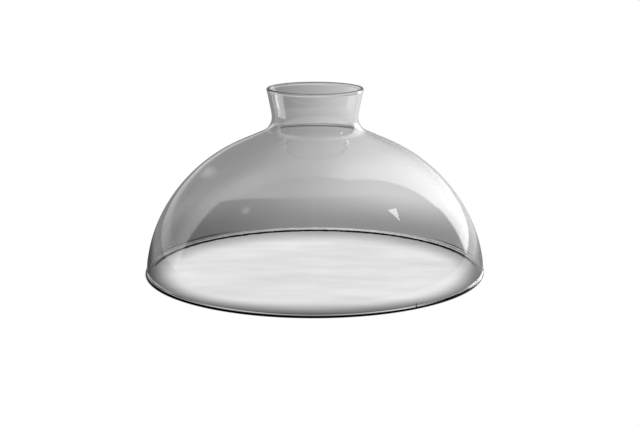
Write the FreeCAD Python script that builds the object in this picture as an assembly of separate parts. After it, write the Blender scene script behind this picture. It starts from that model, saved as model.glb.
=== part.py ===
import FreeCAD, Part

import math
import os

# Glass garden cloche: a low blown bell with a short flared neck that is left open for air.
# Four gathers of the same clear glass, flame-fused to each other on plain faces:
# foot bead, dome bell, neck collar and lip bead. The origin is the centre of the foot's
# ground face, and +Z is the axis of the bell, pointing up.

# Driving dimensions, in millimetres and degrees
BASE_DIAMETER = 320.0      # over the foot bead, the widest place of the cloche
WALL = 2.8                 # glass thickness of the bell and the neck, measured square to it
FOOT_BEAD_RADIUS = 1.7     # section radius of the thread of glass along the base
FOOT_LAND_WIDTH = 1.2      # width of the flat ground on the underside of the foot bead
ARCS_PER_BEAD_SIDE = 3     # short arcs that make up each curved side of the foot bead's section
LIP_BEAD_RADIUS = 1.73     # section radius of the thread of glass around the mouth
FOOT_LEAN = 4.3            # inward lean of the wall, from vertical, where it leaves the foot
WALL_CURVE = 132.5         # outside radius of the lower side of the bell
SHOULDER_START_LEAN = 28.9
SHOULDER_CURVE = 149.4     # outside radius of the shoulder
CROWN_LEAN = 66.0          # lean of the nearly flat crown around the neck
CROWN_LENGTH = 26.2        # straight run of the crown, along the glass
THROAT_CURVE = 15.3        # outside radius of the hollow curve from the crown into the neck
NECK_CURVE = 26.5          # outside radius where the neck turns outward above its waist
FLARE_LEAN = -11.2         # the neck leans outward
FLARE_LENGTH = 19.6        # straight run of the neck, along the glass
SEAM_BEARING = 33.0        # closing seam of the foot bead, from the front (-Y) towards +X
SEAM_CUTTER_RADIUS = 0.6   # round-bottomed nick that the seam leaves in the outside of the bead
SEAM_DEPTH = 0.35


def outward(lean):
    """Radial section direction square to a wall of this lean, pointing out of the glass."""
    angle = math.radians(lean)
    return FreeCAD.Vector(math.cos(angle), 0, math.sin(angle))


def upward(lean):
    """Radial section direction along a wall of this lean, pointing up it."""
    angle = math.radians(lean)
    return FreeCAD.Vector(-math.sin(angle), 0, math.cos(angle))


def chord_offset(bead_radius):
    """Distance from a bead's centre to the chord where it is exactly as wide as the wall."""
    return math.sqrt(bead_radius ** 2 - (WALL / 2) ** 2)


def curved_run(start, lean, radius, end_lean):
    """Outer and inner arcs of a stretch of wall that turns from one lean to another."""
    bulge = 1 if end_lean > lean else -1
    centre = start - outward(lean) * (bulge * radius)

    def arc(depth):
        reach = bulge * radius - depth
        leans = (lean, (lean + end_lean) / 2, end_lean)
        return Part.Arc(*[centre + outward(value) * reach for value in leans]).toShape()

    end = centre + outward(end_lean) * (bulge * radius)
    return arc(0), arc(WALL), end


def straight_run(start, lean, length):
    """Outer and inner lines of a straight stretch of wall."""
    end = start + upward(lean) * length
    inset = outward(lean) * WALL
    return Part.makeLine(start, end), Part.makeLine(start - inset, end - inset), end


def revolve(edges):
    """Solid of revolution about the Z axis from the edges of a closed radial section."""
    section = Part.Face(Part.Wire(Part.__sortEdges__(edges)))
    return section.revolve(FreeCAD.Vector(0, 0, 0), FreeCAD.Vector(0, 0, 1), 360)


def bead_arcs(centre, start, end):
    """Arcs of a bead's section around its centre, the short way from start to end."""
    radius = (start - centre).Length
    first = math.atan2(start.z - centre.z, start.x - centre.x)
    last = math.atan2(end.z - centre.z, end.x - centre.x)
    turn = math.remainder(last - first, 2 * math.pi)

    def point(share):
        angle = first + turn * share
        return centre + FreeCAD.Vector(math.cos(angle), 0, math.sin(angle)) * radius

    arcs = []
    for index in range(ARCS_PER_BEAD_SIDE):
        shares = [(index + step) / ARCS_PER_BEAD_SIDE for step in (0, 0.5, 1)]
        arcs.append(Part.Arc(*[point(share) for share in shares]).toShape())
    return arcs


def wall_face(outer_point, lean):
    """Section line across the wall, where one gather of glass is fused to the next."""
    return Part.makeLine(outer_point, outer_point - outward(lean) * WALL)


def foot_centre():
    """Centre of the foot bead's section, raised so that the ground land lies at Z = 0."""
    height = math.sqrt(FOOT_BEAD_RADIUS ** 2 - (FOOT_LAND_WIDTH / 2) ** 2)
    return FreeCAD.Vector(BASE_DIAMETER / 2 - FOOT_BEAD_RADIUS, 0, height)


def bell_start():
    """Outer lower corner of the bell's wall, on top of the foot bead."""
    middle = foot_centre() + upward(FOOT_LEAN) * chord_offset(FOOT_BEAD_RADIUS)
    return middle + outward(FOOT_LEAN) * (WALL / 2)


def foot_bead():
    """Thread of glass laid along the base, ground flat underneath, nicked at its seam."""
    centre = foot_centre()
    top_outer = bell_start()
    top_inner = top_outer - outward(FOOT_LEAN) * WALL
    half_land = FreeCAD.Vector(FOOT_LAND_WIDTH / 2, 0, 0)
    below = FreeCAD.Vector(0, 0, -centre.z)
    land_outer = centre + half_land + below
    land_inner = centre - half_land + below
    side = FreeCAD.Vector(FOOT_BEAD_RADIUS, 0, 0)
    ring = revolve([
        wall_face(top_outer, FOOT_LEAN),
        *bead_arcs(centre, top_outer, centre + side),
        *bead_arcs(centre, centre + side, land_outer),
        Part.makeLine(land_outer, land_inner),
        *bead_arcs(centre, land_inner, centre - side),
        *bead_arcs(centre, centre - side, top_inner),
    ])
    cutter_distance = BASE_DIAMETER / 2 + SEAM_CUTTER_RADIUS - SEAM_DEPTH
    bearing = math.radians(SEAM_BEARING)
    cutter_place = FreeCAD.Vector(
        cutter_distance * math.sin(bearing),
        -cutter_distance * math.cos(bearing),
        -FOOT_BEAD_RADIUS,
    )
    cutter = Part.makeCylinder(SEAM_CUTTER_RADIUS, 4 * FOOT_BEAD_RADIUS, cutter_place)
    return ring.cut(cutter)


def dome_bell():
    """The blown bell: lower side, shoulder and crown, up to the foot of the neck."""
    start = bell_start()
    side_out, side_in, shoulder = curved_run(start, FOOT_LEAN, WALL_CURVE, SHOULDER_START_LEAN)
    turn_out, turn_in, crown = curved_run(shoulder, SHOULDER_START_LEAN, SHOULDER_CURVE, CROWN_LEAN)
    crown_out, crown_in, neck = straight_run(crown, CROWN_LEAN, CROWN_LENGTH)
    solid = revolve([
        wall_face(start, FOOT_LEAN),
        side_out, turn_out, crown_out,
        wall_face(neck, CROWN_LEAN),
        side_in, turn_in, crown_in,
    ])
    return solid, neck


def neck_collar(start):
    """The short open neck: hollow throat curve, waist and flare."""
    throat_out, throat_in, waist = curved_run(start, CROWN_LEAN, THROAT_CURVE, 0)
    turn_out, turn_in, flare = curved_run(waist, 0, NECK_CURVE, FLARE_LEAN)
    flare_out, flare_in, mouth = straight_run(flare, FLARE_LEAN, FLARE_LENGTH)
    solid = revolve([
        wall_face(start, CROWN_LEAN),
        throat_out, turn_out, flare_out,
        wall_face(mouth, FLARE_LEAN),
        throat_in, turn_in, flare_in,
    ])
    return solid, mouth


def lip_bead(start):
    """Fire-polished thread of glass around the mouth of the neck."""
    end = start - outward(FLARE_LEAN) * WALL
    middle = (start + end) * 0.5
    crest_height = chord_offset(LIP_BEAD_RADIUS) + LIP_BEAD_RADIUS
    crest = middle + upward(FLARE_LEAN) * crest_height
    return revolve([
        wall_face(start, FLARE_LEAN),
        Part.Arc(start, crest, end).toShape(),
    ])


def main():
    bell, neck = dome_bell()
    collar, mouth = neck_collar(neck)
    solids = {
        "foot_bead": foot_bead(),
        "dome_bell": bell,
        "neck_collar": collar,
        "lip_bead": lip_bead(mouth),
    }
    os.makedirs("parts", exist_ok=True)
    for node, solid in solids.items():
        solid.exportStep(os.path.join("parts", node + ".step"))


main()
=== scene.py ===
import math

import bpy
import numpy as np
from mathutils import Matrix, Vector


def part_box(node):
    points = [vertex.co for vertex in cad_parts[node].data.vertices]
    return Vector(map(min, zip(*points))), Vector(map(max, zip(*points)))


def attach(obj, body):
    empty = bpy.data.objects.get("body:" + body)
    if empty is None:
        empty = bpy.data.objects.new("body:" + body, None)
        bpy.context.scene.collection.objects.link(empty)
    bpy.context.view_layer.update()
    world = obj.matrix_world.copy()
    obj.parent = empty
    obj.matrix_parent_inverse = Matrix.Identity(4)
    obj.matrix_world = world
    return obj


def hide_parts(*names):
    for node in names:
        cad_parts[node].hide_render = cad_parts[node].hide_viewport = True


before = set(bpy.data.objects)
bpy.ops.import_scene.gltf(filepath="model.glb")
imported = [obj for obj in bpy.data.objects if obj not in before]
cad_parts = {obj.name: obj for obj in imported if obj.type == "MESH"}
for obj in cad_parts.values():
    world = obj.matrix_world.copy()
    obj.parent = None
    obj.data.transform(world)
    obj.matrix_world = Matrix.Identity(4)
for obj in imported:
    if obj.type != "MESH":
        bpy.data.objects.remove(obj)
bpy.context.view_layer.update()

# Looks of the glass cloche. Lengths are in metres. The glass is built from sections that are read
# from the CAD nodes' own meshes, so its sizes and places come from the frame.
BASE_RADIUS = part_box("foot_bead")[1].x
CLOCHE_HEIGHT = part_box("lip_bead")[1].z
MM = 0.001

# Mesh density
FINE_STEP = 0.2 * MM                 # spacing of the section before rows are chosen from it
FILLET = 0.45 * MM                   # softening of the creases where a bead meets the wall
FILLET_REACH = 4                     # of the softening, where it stops being felt
ROW_STEPS = {"foot_bead": 0.35 * MM, "dome_bell": 2.6 * MM, "neck_collar": 1.2 * MM, "lip_bead": 0.3 * MM}
CLOSE_ROW = 0.35 * MM                # row spacing beside a fused face
ROW_GROWTH = 0.25                    # how fast rows spread out away from it
FINER = 4                            # samples for each loop place when rows are chosen
COLUMNS = 480
SIDE_FACING = 0.3                    # least radial part of a face normal on a wall's side

# Closing seam of the foot bead
SEAM_BEARING = math.radians(33)      # from the front (-Y) towards +X
SEAM_REACH = 4 * MM
SEAM_COLUMN = 0.2 * MM
SEAM_DEPTH = 0.35 * MM
SEAM_WIDTH = 0.45 * MM
SLOPE_STEP = 0.1 * MM

# Hand-blown unevenness: (times round, turns up the height, size, start angle)
UNEVENNESS = (
    (2, 0.5, 0.10 * MM, 0.4),
    (3, -0.8, 0.07 * MM, 2.1),
    (5, 1.3, 0.04 * MM, 4.4),
    (9, -2.1, 0.015 * MM, 1.3),
    (16, 3.4, 0.006 * MM, 5.2),
)
LIP_DIP = 0.25 * MM
LIP_DIP_BEARING = 0.9

# Stains and painted shade in the glass. An edge is (start, end) of a change in one part of the surface
# normal
OUTSIDE_EDGE = (0.1, 0.3)            # outward part of the normal, for stains on the outside
INSIDE_EDGE = (-0.1, -0.3)           # outward part of the normal, for stains on the inside
UNDERSIDE_SHADE_EDGE = (0.15, 0.0)            # upward part, where the painted shade on the foot's underside starts outside
INNER_UNDERSIDE_SHADE_EDGE = (-0.3, -0.45)    # the same inside
UNDERSIDE_SHADE_RIGHT = (0.2, 0.9, 0.05, 0.28)    # bearing from, to; how much higher the painted shade reaches there
UNDERSIDE_SHADE_RIGHT_END = (1.05, 1.35, 0, 0.3)
UNDERSIDE_SHADE_LEFT = (-0.5, -1.1, 0, 0.12)
SEAM_LINE = 1.3 * MM
SEAM_HEIGHT = 4.5 * MM
SEAM_FADE = 1.4                      # of the seam's height, where its line ends
BEAD_SHADOW_HEIGHT = 5.0 * MM
BEAD_SHADOW = 1.9 * MM
BEAD_SHADOW_RIGHT = (1.6, 2.2, 0.15)     # bearing from, to, and softness of the ends
BEAD_SHADOW_LEFT = (-2.5, -1.9, 0.15)
SEED_SPACING = 32 * MM
SEED_CORE = 0.0104                   # of the spacing
SEED_SIZE = 0.026                    # of the spacing
SEED_DARK = 0.7
THROAT_SHADE_RINGS = ((0.769, 1.8 * MM, 0.9), (0.75, 1.7 * MM, 0.75))    # height share, width, darkness of painted shade rings
THROAT_EDGE = (-0.05, -0.25)
THROAT_WANDER = 25 * MM
THROAT_WAVE = 2.5 * MM
CROWN_EDGE = (0.4, 0.75)             # upward part, where the painted shade on the lip's crown starts
# How much painted shade darkens the lip's crown
CROWN_SHADE = 0.85
GLASS_IOR = 1.5

# Cords drawn in the glass
CORD_SPACING = 18 * MM
CORD_STRETCH = 2.5
CORD_DETAIL = 3.0
CORD_HEIGHT = 0.012 * MM

# Bright paper inside the base, greyed by painted shade towards the rim, in base radii. A fade is (start,
# end[, value before, value after])
DISC_LIGHT = 0.82
DISC_FADE = (0, 0.22)
DISC_PULL_SIDE = 0.5                 # how near the rim the grey edge keeps, at the sides,
DISC_PULL_FRONT = 3.2                # added to that at the front,
DISC_PULL_REAR = 4.4                 # and at the rear
DISC_FRONT_TO_REAR = (-0.1, 0.15)
DISC_REAR_KEPT = (-0.3, 0.5, 0.07, 0.5)
SAFE = 0.02                          # keeps a division by a distance from the middle finite
SAFE_SQUARE = 0.001                  # the same for the square of one
STREAK_GRAIN = (2.4, 8.0)
STREAK_DETAIL = 4.0
STREAKS = 0.3
BLOTCH_GRAIN = (1.3, 2.6)
BLOTCH_LAYER = 3
BLOTCHES = 0.35
DISC_END = (1.005, 0.985)

# Paper beyond the base, in base radii, with a painted bright sheet and painted glints
SIDE_DEPTH = 7.6
PAPER_NEAR = (-0.13, 0.02, 0.075, 0.28)
PAPER_FAR = (-0.075, 0.11, 0.26, 0.76)
NEAR_TO_FAR = (1.15, 2.5)
FRONT_FADE = (-1.2, -1.7)
FRONT_PAPER = 0.1
SHEET_FADE = (-1.5, -1.7)
SHEET_SLANT = (-0.16, 0.42, 0.03)
SHEET_STEEPNESS = (0.25, 0.31)
SIDE_SHEET_LIGHT = 3.2
GLINT_RIGHT = ((0.95, 1.3, 0.03), (-0.45, -0.05, 0.04), 3.0)       # band across, band along, light
GLINT_LEFT = ((-1.3, -0.9, 0.03), (-0.65, -0.1, 0.04), 0.9)
GLINT_REACH = (30, 22)               # millimetres that a ray may travel to the paper

# Painted contact shadow and painted bright rings where the foot stands
NEAR_GLASS = (20, 12)                # millimetres from the glass to the paper along a ray
FAR_SIDE = (0.0, 0.15)
FAR_SIDE_STEEPNESS = (0.36, 0.27)
STRAIGHT_BOUNCES = (2.9, 2.1)        # through one wall only
BEAD_BOUNCES = (4.9, 4.1)            # through one wall and the bead
RING_SIDE = (-0.1, 0.1)
RING_INNER = (0.965, 0.96)
RING_OUTER = (1.06, 1.02)
RING_SOFT = 0.01
INNER_LIGHT_RING = (0.957, 0.007)
INNER_LIGHT_FRONT = (0.0, -0.3)
INNER_LIGHT_SIDE = (0.2, 0.9, 1, 2.2)
INNER_LIGHT = 0.5
OUTER_LIGHT_RING = (1.038, 0.012)
OUTER_LIGHT_SIDE = (-0.2, 0.8, 1, 2.4)
OUTER_LIGHT = 0.55
CONTACT_SHIFT = (1.0 * MM, 0.3 * MM)
CONTACT_BAND = (0.96, 0.996, 0.006)  # thin painted contact shadow on the paper straight under the foot
FLOOR_HALF = 40
FLOOR_DROP = 0.2 * MM

# Room. Bearings and rises in degrees; a plan place is a direction's x and y for a z of one
ROOM_DARK = 0.06
ARCH_SIDE = -0.05
ARCH_REAR = 0.14
ARCH_BEND = 1.25
ARCH_SOFT = (-0.03, 0.03)
ARCH_RISE = (18, 24)
MIDDLE = (-0.05, 0.05)
LEFT_PANEL = (0.255, 0.275)
RIGHT_PANEL = (54.3, 53)
REAR_RISE = (40, 65, 0.02, 0.35)
LEFT_DEPTH = (0.6, 0.25)
LEFT_SIDE = (-0.1, -0.6)
LEFT_RISE = (-4, 14)
LEFT_LIGHT = 0.85
BEYOND_BEARING = (55.5, 54)
BEYOND_PLAN = (0.19, 0.21)
BEYOND_LIGHT = 0.22
RIGHT_BEARING = (3, 46)
RIGHT_RISE = (140, -20)
RIGHT_LIGHT = 1.95
STRIP_PLAN = (0.12, -0.05)
STRIP_LIGHT = 0.12
LAMPS = (                            # bearing, rise, tilt, width, height, light
    (-31, 21, 130, 16, 3.6, 0.42),
    (-96, 52, 0, 7, 4, 1.2),
)
LOW_SIDE = (0, -0.3)
HORIZON_RISE = (16, 3)
HORIZON_DEPTH = (0.2, 0.6)
HORIZON_LIGHT = 0.22
GLOW_RISE = (26, 0)
GLOW_SLANT = (-0.1, 0.35, 0.15)
GLOW_LIGHT = 0.5
PATCH = ((0.81, -0.04), (1.10, -0.09), (0.92, 0.08))    # corners, anticlockwise, in plan places
PATCH_SOFT = 0.006
PATCH_RISE = (0.2, 0.3)
PATCH_LIGHT = 8
LOW_RISE = (9, 5)
LOW_LIGHT = 0.4

# Camera, placed in base radii
CAMERA_PLACE = (0.029, -7.6094, 2.0536)
CAMERA_DIP = 0.2218
CAMERA_LENS = 74.37
CAMERA_SENSOR = 36
BOUNCES = 24
TRANSMISSION_BOUNCES = 20


# ---------------------------------------------------------------- section of the glass, from the frame

def side_points(node, sign):
    """Section points (radius, height) of a wall node's outer (+1) or inner (-1) side, rising."""
    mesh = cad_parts[node].data
    found = {}
    for face in mesh.polygons:
        centre = face.center
        radial = (face.normal.x * centre.x + face.normal.y * centre.y) / math.hypot(centre.x, centre.y)
        if sign * radial > SIDE_FACING and sign * face.normal.z > -SIDE_FACING:
            for index in face.vertices:
                place = mesh.vertices[index].co
                found[round(place.z, 5)] = (math.hypot(place.x, place.y), place.z)
    return np.array([found[height] for height in sorted(found)])


def smooth_curve(points, step):
    """Cubic curve through the points, sampled at about the given step."""
    gaps = np.linalg.norm(np.diff(points, axis=0), axis=1)
    along = np.concatenate([[0], np.cumsum(gaps)])
    chords = np.diff(points, axis=0) / gaps[:, None]
    before, after = gaps[:-1, None], gaps[1:, None]
    middle = (after * chords[:-1] + before * chords[1:]) / (before + after)
    slopes = np.vstack([2 * chords[0] - middle[0], middle, 2 * chords[-1] - middle[-1]])
    places = np.linspace(0, along[-1], int(along[-1] / step) + 2)
    index = np.clip(np.searchsorted(along, places, side="right") - 1, 0, len(gaps) - 1)
    gap = gaps[index][:, None]
    t = (places - along[index])[:, None] / gap
    return (
        points[index] * (1 + 2 * t) * (1 - t) ** 2
        + slopes[index] * gap * t * (1 - t) ** 2
        + points[index + 1] * t ** 2 * (3 - 2 * t)
        + slopes[index + 1] * gap * t ** 2 * (t - 1)
    )


def bead_circle(outer, inner, towards, component, limit):
    """Circle through a wall's two end corners that reaches a limit in radius (0) or height (1)."""
    middle = (outer + inner) / 2
    across = outer - inner
    half = np.linalg.norm(across) / 2
    along = towards * np.array([-across[1], across[0]]) / (2 * half)
    reach = limit - middle[component]
    share = along[component]
    a, b, c = 1 - share ** 2, 2 * reach * share, half ** 2 - reach ** 2
    offset = (math.sqrt(b * b - 4 * a * c) - b) / (2 * a)
    return middle + along * offset, reach - share * offset


def bead_arc(centre, radius, start, end, step):
    """Points round a bead's section, anticlockwise from start to end."""
    first = math.atan2(*(start - centre)[::-1])
    last = math.atan2(*(end - centre)[::-1])
    turn = (last - first) % (2 * math.pi)
    angles = first + np.linspace(0, turn, int(turn * radius / step) + 2)
    return centre + radius * np.stack([np.cos(angles), np.sin(angles)], axis=1)


def closed_section():
    """The whole glass section as one closed fine loop, and the loop places of the node borders."""
    outer_bell, inner_bell = side_points("dome_bell", 1), side_points("dome_bell", -1)
    outer_neck, inner_neck = side_points("neck_collar", 1), side_points("neck_collar", -1)
    outer = smooth_curve(np.vstack([outer_bell, outer_neck[1:]]), FINE_STEP)
    inner = smooth_curve(np.vstack([inner_bell, inner_neck[1:]]), FINE_STEP)[::-1]
    lip = bead_arc(*bead_circle(outer[-1], inner[0], 1, 1, CLOCHE_HEIGHT), outer[-1], inner[0], FINE_STEP)
    foot = bead_arc(*bead_circle(outer[0], inner[-1], -1, 0, BASE_RADIUS), inner[-1], outer[0], FINE_STEP)
    foot[:, 1] = np.maximum(foot[:, 1], 0)
    loop = np.vstack([outer[:-1], lip[:-1], inner[:-1], foot[:-1]])
    borders = [outer_bell[0], outer_neck[0], outer_neck[-1], inner_neck[-1], inner_neck[0], inner_bell[0]]
    marks = [int(np.argmin(np.linalg.norm(loop - border, axis=1))) for border in borders]
    reach = int(FILLET_REACH * FILLET / FINE_STEP)
    weights = np.exp(-0.5 * (np.arange(-reach, reach + 1) * FINE_STEP / FILLET) ** 2)
    padded = np.vstack([loop[-reach:], loop, loop[:reach]])
    weights /= weights.sum()
    eased = np.stack([np.convolve(padded[:, k], weights, mode="valid") for k in (0, 1)], axis=1)
    return eased, marks


def chosen_rows(start, end, coarse):
    """Loop places of the rows between two borders: close together at both ends, spread between."""
    places = np.linspace(start, end, int(end - start) * FINER + 2)
    nearest = np.minimum(places - start, end - places) * FINE_STEP
    steps = np.minimum(coarse, CLOSE_ROW + ROW_GROWTH * nearest)
    count = np.concatenate([[0], np.cumsum(np.diff(places) * FINE_STEP / steps[1:])])
    rows = max(2, math.ceil(count[-1]))
    return np.interp(np.linspace(0, count[-1], rows + 1), count, places)


SECTION, MARKS = closed_section()
LOOP_LENGTH = len(SECTION)


# ---------------------------------------------------------------- glass meshes

def section_at(places):
    """Section points (radius, height) and unit outward normals at loop places."""
    wrapped = np.vstack([SECTION, SECTION[:1]])
    index = np.arange(LOOP_LENGTH + 1)
    place = np.mod(places, LOOP_LENGTH)
    points = np.stack([np.interp(place, index, wrapped[:, k]) for k in (0, 1)], axis=1)
    tangent = np.gradient(np.vstack([SECTION[-1:], SECTION, SECTION[:2]]), axis=0)[1:-1]
    along = np.stack([np.interp(place, index, tangent[:, k]) for k in (0, 1)], axis=1)
    along /= np.linalg.norm(along, axis=1)[:, None]
    return points, np.stack([along[:, 1], -along[:, 0]], axis=1)


def bearings():
    """Bearings of the mesh columns, from the front (-Y) towards +X, closer together at the seam."""
    even = np.linspace(0, 2 * math.pi, COLUMNS, endpoint=False)
    reach = SEAM_REACH / BASE_RADIUS
    apart = np.abs(even - SEAM_BEARING) > reach
    count = int(2 * SEAM_REACH / SEAM_COLUMN) + 1
    seam = np.linspace(SEAM_BEARING - reach, SEAM_BEARING + reach, count)
    return np.sort(np.concatenate([even[apart], seam]))


def sway(turn, height):
    """How far the blown shape strays in radius, the same for both sides of the wall."""
    share = 2 * math.pi * height / CLOCHE_HEIGHT
    total = 0
    for times_round, waves_up, size, start in UNEVENNESS:
        total = total + size * np.sin(times_round * turn + waves_up * share + start)
    return total - sum(size for _, _, size, _ in UNEVENNESS)


def seam_nick(turn, normals):
    """Depth of the seam's nick, which cuts only the outward side of the foot bead."""
    across = (turn - SEAM_BEARING) * BASE_RADIUS
    nick = -SEAM_DEPTH * np.exp(-((across / SEAM_WIDTH) ** 2))
    return nick * np.clip(normals[:, 0], 0, 1) ** 2


def lip_dip(turn):
    """How far the lip lies below its full height, round the top."""
    return LIP_DIP * (1 + np.sin(turn + LIP_DIP_BEARING)) / 2


def surface(turns, places, nicked):
    """Points of the glass surface, one row of them for each bearing."""
    points, normals = section_at(places)
    turn = turns[:, None]
    lift = seam_nick(turn, normals) if nicked else 0
    radius = points[:, 0] + normals[:, 0] * lift + sway(turn, points[:, 1])
    height = points[:, 1] + normals[:, 1] * lift - points[:, 1] / CLOCHE_HEIGHT * lip_dip(turn)
    return np.stack([radius * np.sin(turn), -radius * np.cos(turn), height + 0 * turn], axis=-1)


def surface_normals(turns, places, nicked):
    """Unit outward normals of the glass surface at the same points."""
    round_step, up_step = SLOPE_STEP / BASE_RADIUS, SLOPE_STEP / FINE_STEP
    across = surface(turns + round_step, places, nicked) - surface(turns - round_step, places, nicked)
    upward = surface(turns, places + up_step, nicked) - surface(turns, places - up_step, nicked)
    normal = np.cross(across, upward)
    return normal / np.linalg.norm(normal, axis=-1)[..., None]


def lathe(node, runs):
    """Closed glass piece for a CAD node, turned from runs of loop places.

    From one run's end to the next run's start the piece is fused to its neighbour.
    """
    places = np.concatenate(runs)
    turns = bearings()
    rows, columns = len(places), len(turns)
    nicked = node == "foot_bead"
    corners = surface(turns, places, nicked)
    normals = surface_normals(turns, places, nicked)
    here = np.arange(columns)[:, None] * rows
    beside = np.roll(here, -1, axis=0)
    row = np.arange(rows)[None, :]
    above = np.roll(row, -1, axis=1)
    faces = np.stack([here + row, beside + row, beside + above, here + above], axis=-1).reshape(-1, 4)
    run_ends = np.cumsum([len(run) for run in runs]) - 1
    fused = np.isin(faces[:, 0] % rows, run_ends)
    mesh = bpy.data.meshes.new(node + "_glass")
    mesh.from_pydata(corners.reshape(-1, 3).tolist(), [], faces.tolist())
    mesh.polygons.foreach_set("material_index", fused.astype(np.int32))
    mesh.polygons.foreach_set("use_smooth", np.ones(len(faces), dtype=bool))
    mesh.update()
    mesh.normals_split_custom_set_from_vertices(normals.reshape(-1, 3).tolist())
    piece = bpy.data.objects.new(node + "_glass", mesh)
    bpy.context.scene.collection.objects.link(piece)
    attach(piece, "root")
    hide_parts(node)
    return piece


RUNS = {
    "foot_bead": [chosen_rows(MARKS[5], LOOP_LENGTH, ROW_STEPS["foot_bead"])],
    "dome_bell": [
        chosen_rows(MARKS[0], MARKS[1], ROW_STEPS["dome_bell"]),
        chosen_rows(MARKS[4], MARKS[5], ROW_STEPS["dome_bell"]),
    ],
    "neck_collar": [
        chosen_rows(MARKS[1], MARKS[2], ROW_STEPS["neck_collar"]),
        chosen_rows(MARKS[3], MARKS[4], ROW_STEPS["neck_collar"]),
    ],
    "lip_bead": [chosen_rows(MARKS[2], MARKS[3], ROW_STEPS["lip_bead"])],
}


# ---------------------------------------------------------------- shader fields

class Field:
    """A number held by a shader socket. Arithmetic on it adds the nodes that work it out."""

    def __init__(self, tree, socket):
        self.tree = tree
        self.socket = socket

    def worked(self, operation, *others):
        return made_field(self.tree, "ShaderNodeMath", (self, *others), operation=operation)

    def __add__(self, other):
        return self.worked("ADD", other)

    def __sub__(self, other):
        return self.worked("SUBTRACT", other)

    def __mul__(self, other):
        return self.worked("MULTIPLY", other)

    def __truediv__(self, other):
        return self.worked("DIVIDE", other)

    def __rsub__(self, other):
        return made_field(self.tree, "ShaderNodeMath", (other, self), operation="SUBTRACT")

    __radd__ = __add__
    __rmul__ = __mul__

    def smooth(self, start, end, low=0.0, high=1.0):
        """Low before the start, high after the end, eased between."""
        inputs = (self, start, end, low, high)
        return made_field(self.tree, "ShaderNodeMapRange", inputs, interpolation_type="SMOOTHSTEP")

    def band(self, start, end, soft):
        """One between start and end, nought outside, with edges eased over a width."""
        return self.smooth(start - soft, start + soft) * self.smooth(end + soft, end - soft)


def feed(tree, value, socket):
    """Set a socket from a number, or link it to a field."""
    if isinstance(value, Field):
        tree.links.new(value.socket, socket)
    else:
        socket.default_value = value


def made_node(tree, kind, inputs=(), **settings):
    node = tree.nodes.new(kind)
    for name, value in settings.items():
        setattr(node, name, value)
    pairs = inputs.items() if isinstance(inputs, dict) else enumerate(inputs)
    for key, value in pairs:
        feed(tree, value, node.inputs[key])
    return node


def made_field(tree, kind, inputs=(), output=0, **settings):
    return Field(tree, made_node(tree, kind, inputs, **settings).outputs[output])


def parts_of(vector):
    """The x, y and z fields of a vector field."""
    split = made_node(vector.tree, "ShaderNodeSeparateXYZ", (vector,))
    return [Field(vector.tree, output) for output in split.outputs]


def length(x, y):
    return (x * x + y * y).worked("POWER", 0.5)


def joined(tree, x, y, z):
    return made_field(tree, "ShaderNodeCombineXYZ", (x, y, z))


def noise(place, scale, detail=2.0, roughness=0.5):
    """Noise about nought, from -0.5 to 0.5, over a vector field."""
    inputs = {"Vector": place, "Scale": scale, "Detail": detail, "Roughness": roughness}
    return made_field(place.tree, "ShaderNodeTexNoise", inputs) - 0.5


def ring(value, centre, soft):
    """One at the centre value, falling to nought at a distance either side of it."""
    return (value - centre).worked("ABSOLUTE").smooth(soft, 0)


def emptied(block):
    block.use_nodes = True
    block.node_tree.nodes.clear()
    return block.node_tree


# ---------------------------------------------------------------- glass materials

def bearing_of(x, y):
    """Bearing in radians from the front (-Y) towards +X."""
    return x.worked("ARCTAN2", 0 - y)


def seam_line(place, outward):
    """Dark line of the foot's closing seam, running a little way up the outside."""
    x, y, z = parts_of(place)
    line = ring(bearing_of(x, y) * BASE_RADIUS, SEAM_BEARING * BASE_RADIUS, SEAM_LINE)
    return 1 - line * outward.smooth(*OUTSIDE_EDGE) * z.smooth(SEAM_HEIGHT * SEAM_FADE, SEAM_HEIGHT)


def bead_shadow(place, outward):
    """Dark line over the bead, along the inside of the wall's rear sides."""
    x, y, z = parts_of(place)
    turn = bearing_of(x, y)
    rear_sides = turn.band(*BEAD_SHADOW_RIGHT) + turn.band(*BEAD_SHADOW_LEFT)
    return 1 - ring(z, BEAD_SHADOW_HEIGHT, BEAD_SHADOW) * rear_sides * outward.smooth(*INSIDE_EDGE)


def foot_shade_and_seam(place, normal, outward):
    """Painted shade darkening the foot's underside, wider at the sides, and the closing seam's line."""
    x, y = parts_of(place)[:2]
    turn = bearing_of(x, y)
    wider = turn.smooth(*UNDERSIDE_SHADE_RIGHT) - turn.smooth(*UNDERSIDE_SHADE_RIGHT_END) + turn.smooth(*UNDERSIDE_SHADE_LEFT)
    upward = parts_of(normal)[2]
    # Painted shade: the foot's underside is darkened outside and inside, as if in shadow
    underside_shade = (upward - wider).smooth(*UNDERSIDE_SHADE_EDGE) * outward.smooth(*OUTSIDE_EDGE)
    underside_shade = underside_shade + upward.smooth(*INNER_UNDERSIDE_SHADE_EDGE) * outward.smooth(*INSIDE_EDGE)
    return (1 - underside_shade) * seam_line(place, outward) * bead_shadow(place, outward)


def throat_shade(place, outward):
    """Painted shade: greyer rings round the inside of the throat, where its thick glass looks dark."""
    height = parts_of(place)[2] + noise(place, 1 / THROAT_WANDER, 1.0) * THROAT_WAVE
    shade_rings = 0.0
    for ring_height, width, dark in THROAT_SHADE_RINGS:
        shade_rings = shade_rings + ring(height, ring_height * CLOCHE_HEIGHT, width) * dark
    return 1 - shade_rings * outward.smooth(*THROAT_EDGE)


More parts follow.
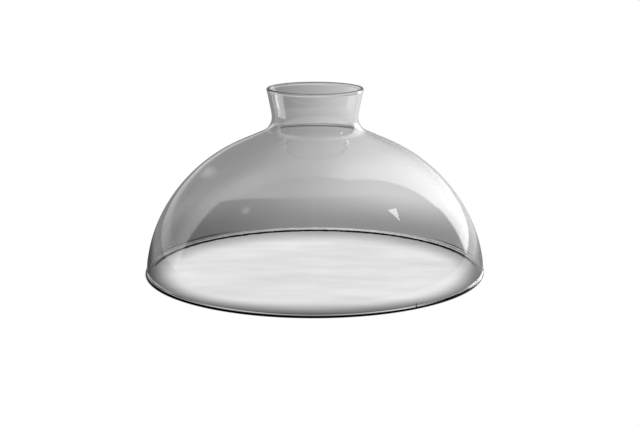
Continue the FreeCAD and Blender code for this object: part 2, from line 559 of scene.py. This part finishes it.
def bell_seeds_and_shade(place, normal, outward):
    """Small dark seeds scattered through the bell, and the lines that reach up or down into it: the
    seam's line, the throat's painted shade and the bead's painted shadow.
    """
    inputs = {"Vector": place, "Scale": 1 / SEED_SPACING}
    away = made_field(place.tree, "ShaderNodeTexVoronoi", inputs, output="Distance")
    seeds = away.smooth(SEED_CORE, SEED_SIZE, 1 - SEED_DARK, 1.0)
    return seeds * throat_shade(place, outward) * seam_line(place, outward) * bead_shadow(place, outward)


# Painted shade of the throat only
def collar_shade(place, normal, outward):
    return throat_shade(place, outward)


def lip_crown_shade(place, normal, outward):
    """Painted shade: the crown of the lip is darker than the wall."""
    return 1 - parts_of(normal)[2].smooth(*CROWN_EDGE) * CROWN_SHADE


def glass(node, marks_and_shade):
    """Clear glass with drawn cords and its own marks and painted shade, which act where light enters."""
    material = bpy.data.materials.new(node + "_clear")
    tree = emptied(material)
    place = made_field(tree, "ShaderNodeNewGeometry", output="Position")
    normal = made_field(tree, "ShaderNodeNewGeometry", output="Normal")
    inside = made_field(tree, "ShaderNodeNewGeometry", output="Backfacing")
    x, y, z = parts_of(place)
    across, along = parts_of(normal)[:2]
    outward = (across * x + along * y) / length(x, y)
    clear = inside + (1 - inside) * marks_and_shade(place, normal, outward)
    cords = noise(joined(tree, x, y, z * CORD_STRETCH), 1 / CORD_SPACING, CORD_DETAIL)
    bump = {"Strength": 1.0, "Distance": CORD_HEIGHT, "Height": cords}
    inputs = {
        "Base Color": joined(tree, clear, clear, clear),
        "Roughness": 0.0,
        "IOR": GLASS_IOR,
        "Transmission Weight": 1.0,
        "Normal": made_field(tree, "ShaderNodeBump", bump),
    }
    body = made_node(tree, "ShaderNodeBsdfPrincipled", inputs)
    output = made_node(tree, "ShaderNodeOutputMaterial")
    tree.links.new(body.outputs[0], output.inputs["Surface"])
    return material


def fused_face():
    material = bpy.data.materials.new("fused_face")
    tree = emptied(material)
    clear = made_node(tree, "ShaderNodeBsdfTransparent")
    output = made_node(tree, "ShaderNodeOutputMaterial")
    tree.links.new(clear.outputs[0], output.inputs["Surface"])
    return material


MARKS_AND_SHADE = {
    "foot_bead": foot_shade_and_seam,
    "dome_bell": bell_seeds_and_shade,
    "neck_collar": collar_shade,
    "lip_bead": lip_crown_shade,
}
FUSED = fused_face()
for node, runs in RUNS.items():
    piece = lathe(node, runs)
    piece.data.materials.append(glass(node, MARKS_AND_SHADE[node]))
    piece.data.materials.append(FUSED)


# ---------------------------------------------------------------- studio

def light_path(tree, output):
    return made_field(tree, "ShaderNodeLightPath", output=output)


def seen_through(tree):
    """One for rays that last passed a glass surface, nought for rays reflected at the front."""
    return light_path(tree, "Is Transmission Ray")


def disc_light(tree, x, y, out):
    """Streaky bright paper inside the base, greyed by painted shade towards the rim."""
    share = y * y / (out * out + SAFE_SQUARE)
    front_pull = share * share * DISC_PULL_FRONT + DISC_PULL_SIDE
    pull = front_pull + (DISC_PULL_REAR - front_pull) * y.smooth(*DISC_FRONT_TO_REAR)
    inset = (1 - out * out) / (2 * (x * x + y * y * pull).worked("POWER", 0.5) + SAFE)
    streaks = noise(joined(tree, x * STREAK_GRAIN[0], y * STREAK_GRAIN[1], 0), 1.0, STREAK_DETAIL)
    blotches = noise(joined(tree, x * BLOTCH_GRAIN[0], y * BLOTCH_GRAIN[1], BLOTCH_LAYER), 1.0)
    kept = y.smooth(*DISC_REAR_KEPT)
    grain = 1 + (streaks * STREAKS + blotches * BLOTCHES)
    return DISC_LIGHT * (kept + (1 - kept) * inset.smooth(*DISC_FADE)) * grain


def paper_light(tree, x, y, out, steep, reach):
    """Paper beyond the base: darker to the left, with a painted bright sheet at the side and two painted
    glints.
    """
    side = x / (y.worked("ABSOLUTE") + SIDE_DEPTH)
    near, far = side.smooth(*PAPER_NEAR), side.smooth(*PAPER_FAR)
    beyond = near + (far - near) * out.smooth(*NEAR_TO_FAR)
    slant = y / x.worked("ABSOLUTE")
    sheet = x.smooth(*SHEET_FADE) * slant.band(*SHEET_SLANT) * steep.smooth(*SHEET_STEEPNESS) * SIDE_SHEET_LIGHT
    glints = 0
    for across, along, light in (GLINT_RIGHT, GLINT_LEFT):
        glints = glints + x.band(*across) * y.band(*along) * light
    reflected = (sheet + glints * reach.smooth(*GLINT_REACH)) * (1 - seen_through(tree))
    return beyond + y.smooth(*FRONT_FADE) * FRONT_PAPER + reflected


def floor_light(tree):
    """Brightness of the paper, as seen in and through the glass, with painted contact shadow and painted
    highlights. Lengths in base radii.
    """
    x, y = parts_of(made_field(tree, "ShaderNodeNewGeometry", output="Position"))[:2]
    x, y = x / BASE_RADIUS, y / BASE_RADIUS
    out = length(x, y)
    steep = parts_of(made_field(tree, "ShaderNodeNewGeometry", output="Incoming"))[2]
    reach = light_path(tree, "Ray Length") / MM
    bounces = light_path(tree, "Ray Depth")
    near_glass = reach.smooth(*NEAR_GLASS)
    far_side = y.smooth(*FAR_SIDE) * steep.smooth(*FAR_SIDE_STEEPNESS) * bounces.smooth(*STRAIGHT_BOUNCES)
    shade = 1 - (1 - near_glass * bounces.smooth(*BEAD_BOUNCES)) * (1 - far_side)
    inner, outer = y.smooth(*RING_SIDE, *RING_INNER), y.smooth(*RING_SIDE, *RING_OUTER)
    # Painted contact shadow round the foot, and painted bright rings that the bead shows as highlights
    contact_shadow = 1 - out.band(inner, outer, RING_SOFT) * shade
    inner_light = ring(out, *INNER_LIGHT_RING) * y.smooth(*INNER_LIGHT_FRONT) * near_glass
    outer_light = ring(out, *OUTER_LIGHT_RING) * y.smooth(*RING_SIDE) * x.smooth(*OUTER_LIGHT_SIDE)
    rings = inner_light * x.smooth(*INNER_LIGHT_SIDE) * INNER_LIGHT + outer_light * OUTER_LIGHT
    within = out.smooth(*DISC_END)
    inside, outside = disc_light(tree, x, y, out), paper_light(tree, x, y, out, steep, reach)
    return (inside * within + outside * (1 - within)) * contact_shadow + rings


def three_cornered(x, y, corners, soft):
    """One inside a triangle whose corners run anticlockwise."""
    inside = 1.0
    for (ax, ay), (bx, by) in zip(corners, corners[1:] + corners[:1]):
        reach = math.hypot(bx - ax, by - ay)
        depth = ((y - ay) * (bx - ax) - (x - ax) * (by - ay)) / reach
        inside = inside * depth.smooth(-soft, soft)
    return inside


def lamp(bearing, rise, middle, height, tilt, wide, tall, light):
    """Soft oval lamp about a middle bearing and height, tilted out of the level."""
    turn = math.radians(tilt)
    aside, above = bearing - middle, rise - height
    across = aside * math.cos(turn) + above * math.sin(turn)
    along = above * math.cos(turn) - aside * math.sin(turn)
    return length(across / wide, along / tall).smooth(1, 0, 0, light)


def room_light(tree):
    """Brightness of the room, as seen in and through the glass. Angles in degrees."""
    x, y, z = parts_of(made_field(tree, "ShaderNodeTexCoord", output="Generated"))
    bearing = x.worked("ARCTAN2", y) * math.degrees(1)
    rise = z.worked("ARCSINE") * math.degrees(1)
    plan_x, plan_y = x / z, y / z
    bend = ARCH_BEND * (length(plan_x - ARCH_SIDE, 1.0) - 1)
    arch = (plan_y + ARCH_REAR - bend).smooth(*ARCH_SOFT) * rise.smooth(*ARCH_RISE)
    rightward = x.smooth(*MIDDLE)
    sides = y.smooth(*LEFT_PANEL) * (1 - rightward) + bearing.smooth(*RIGHT_PANEL) * rightward
    lit = 1 - (1 - arch) * (1 - sides)
    beyond = bearing.smooth(*BEYOND_BEARING) * plan_y.smooth(*BEYOND_PLAN)
    left = y.smooth(*LEFT_DEPTH) * x.smooth(*LEFT_SIDE) * rise.smooth(*LEFT_RISE) * LEFT_LIGHT
    right = beyond * bearing.smooth(*RIGHT_BEARING) * rise.smooth(*RIGHT_RISE) * RIGHT_LIGHT
    strip = plan_y.smooth(*STRIP_PLAN) * STRIP_LIGHT + beyond * BEYOND_LIGHT
    light = ROOM_DARK + lit * (rise.smooth(*REAR_RISE) + left + right + strip)
    for shape in LAMPS:
        light = light + lamp(bearing, rise, *shape)
    slant = y / x.worked("ABSOLUTE")
    low_left = rise.smooth(*HORIZON_RISE) * y.smooth(*HORIZON_DEPTH) * HORIZON_LIGHT
    low_left = low_left + rise.smooth(*GLOW_RISE) * slant.band(*GLOW_SLANT) * GLOW_LIGHT
    patch = three_cornered(plan_x, plan_y, PATCH, PATCH_SOFT) * z.smooth(*PATCH_RISE) * PATCH_LIGHT
    light = light + (low_left * x.smooth(*LOW_SIDE) + patch) * (1 - seen_through(tree))
    return light + rise.smooth(*LOW_RISE) * LOW_LIGHT * seen_through(tree)


def lit_white(tree, kind, light, output, shown=1.0):
    """The shown brightness to the camera, the given brightness to every other ray."""
    camera = light_path(tree, "Is Camera Ray")
    strength = camera * shown + light * (1 - camera)
    shader = made_node(tree, kind, {"Color": (1, 1, 1, 1), "Strength": strength})
    out = made_node(tree, output)
    tree.links.new(shader.outputs[0], out.inputs["Surface"])


def floor():
    """Plain white paper, with a thin painted contact shadow under the foot."""
    corners = [(x * FLOOR_HALF, y * FLOOR_HALF, 0) for x, y in ((-1, -1), (1, -1), (1, 1), (-1, 1))]
    mesh = bpy.data.meshes.new("floor")
    mesh.from_pydata(corners, [], [(0, 1, 2, 3)])
    sheet = bpy.data.objects.new("floor", mesh)
    sheet.location.z = -FLOOR_DROP
    bpy.context.scene.collection.objects.link(sheet)
    material = bpy.data.materials.new("floor_paper")
    tree = emptied(material)
    x, y = parts_of(made_field(tree, "ShaderNodeNewGeometry", output="Position"))[:2]
    out = length(x + CONTACT_SHIFT[0], y + CONTACT_SHIFT[1]) / BASE_RADIUS
    shown = 1 - out.band(*CONTACT_BAND)
    lit_white(tree, "ShaderNodeEmission", floor_light(tree), "ShaderNodeOutputMaterial", shown)
    mesh.materials.append(material)


def room():
    world = bpy.data.worlds.new("studio")
    bpy.context.scene.world = world
    tree = emptied(world)
    lit_white(tree, "ShaderNodeBackground", room_light(tree), "ShaderNodeOutputWorld")


def camera():
    scene = bpy.context.scene
    eye = bpy.data.objects.new("camera", bpy.data.cameras.new("camera"))
    scene.collection.objects.link(eye)
    eye.data.sensor_width = CAMERA_SENSOR
    eye.data.lens = CAMERA_LENS
    eye.location = [part * BASE_RADIUS for part in CAMERA_PLACE]
    eye.rotation_euler = (math.pi / 2 - CAMERA_DIP, 0, 0)
    scene.camera = eye


floor()
room()
camera()
bpy.context.scene.view_settings.view_transform = "Standard"
bpy.context.scene.cycles.max_bounces = BOUNCES
bpy.context.scene.cycles.transmission_bounces = TRANSMISSION_BOUNCES
bpy.context.scene.cycles.transparent_max_bounces = BOUNCES
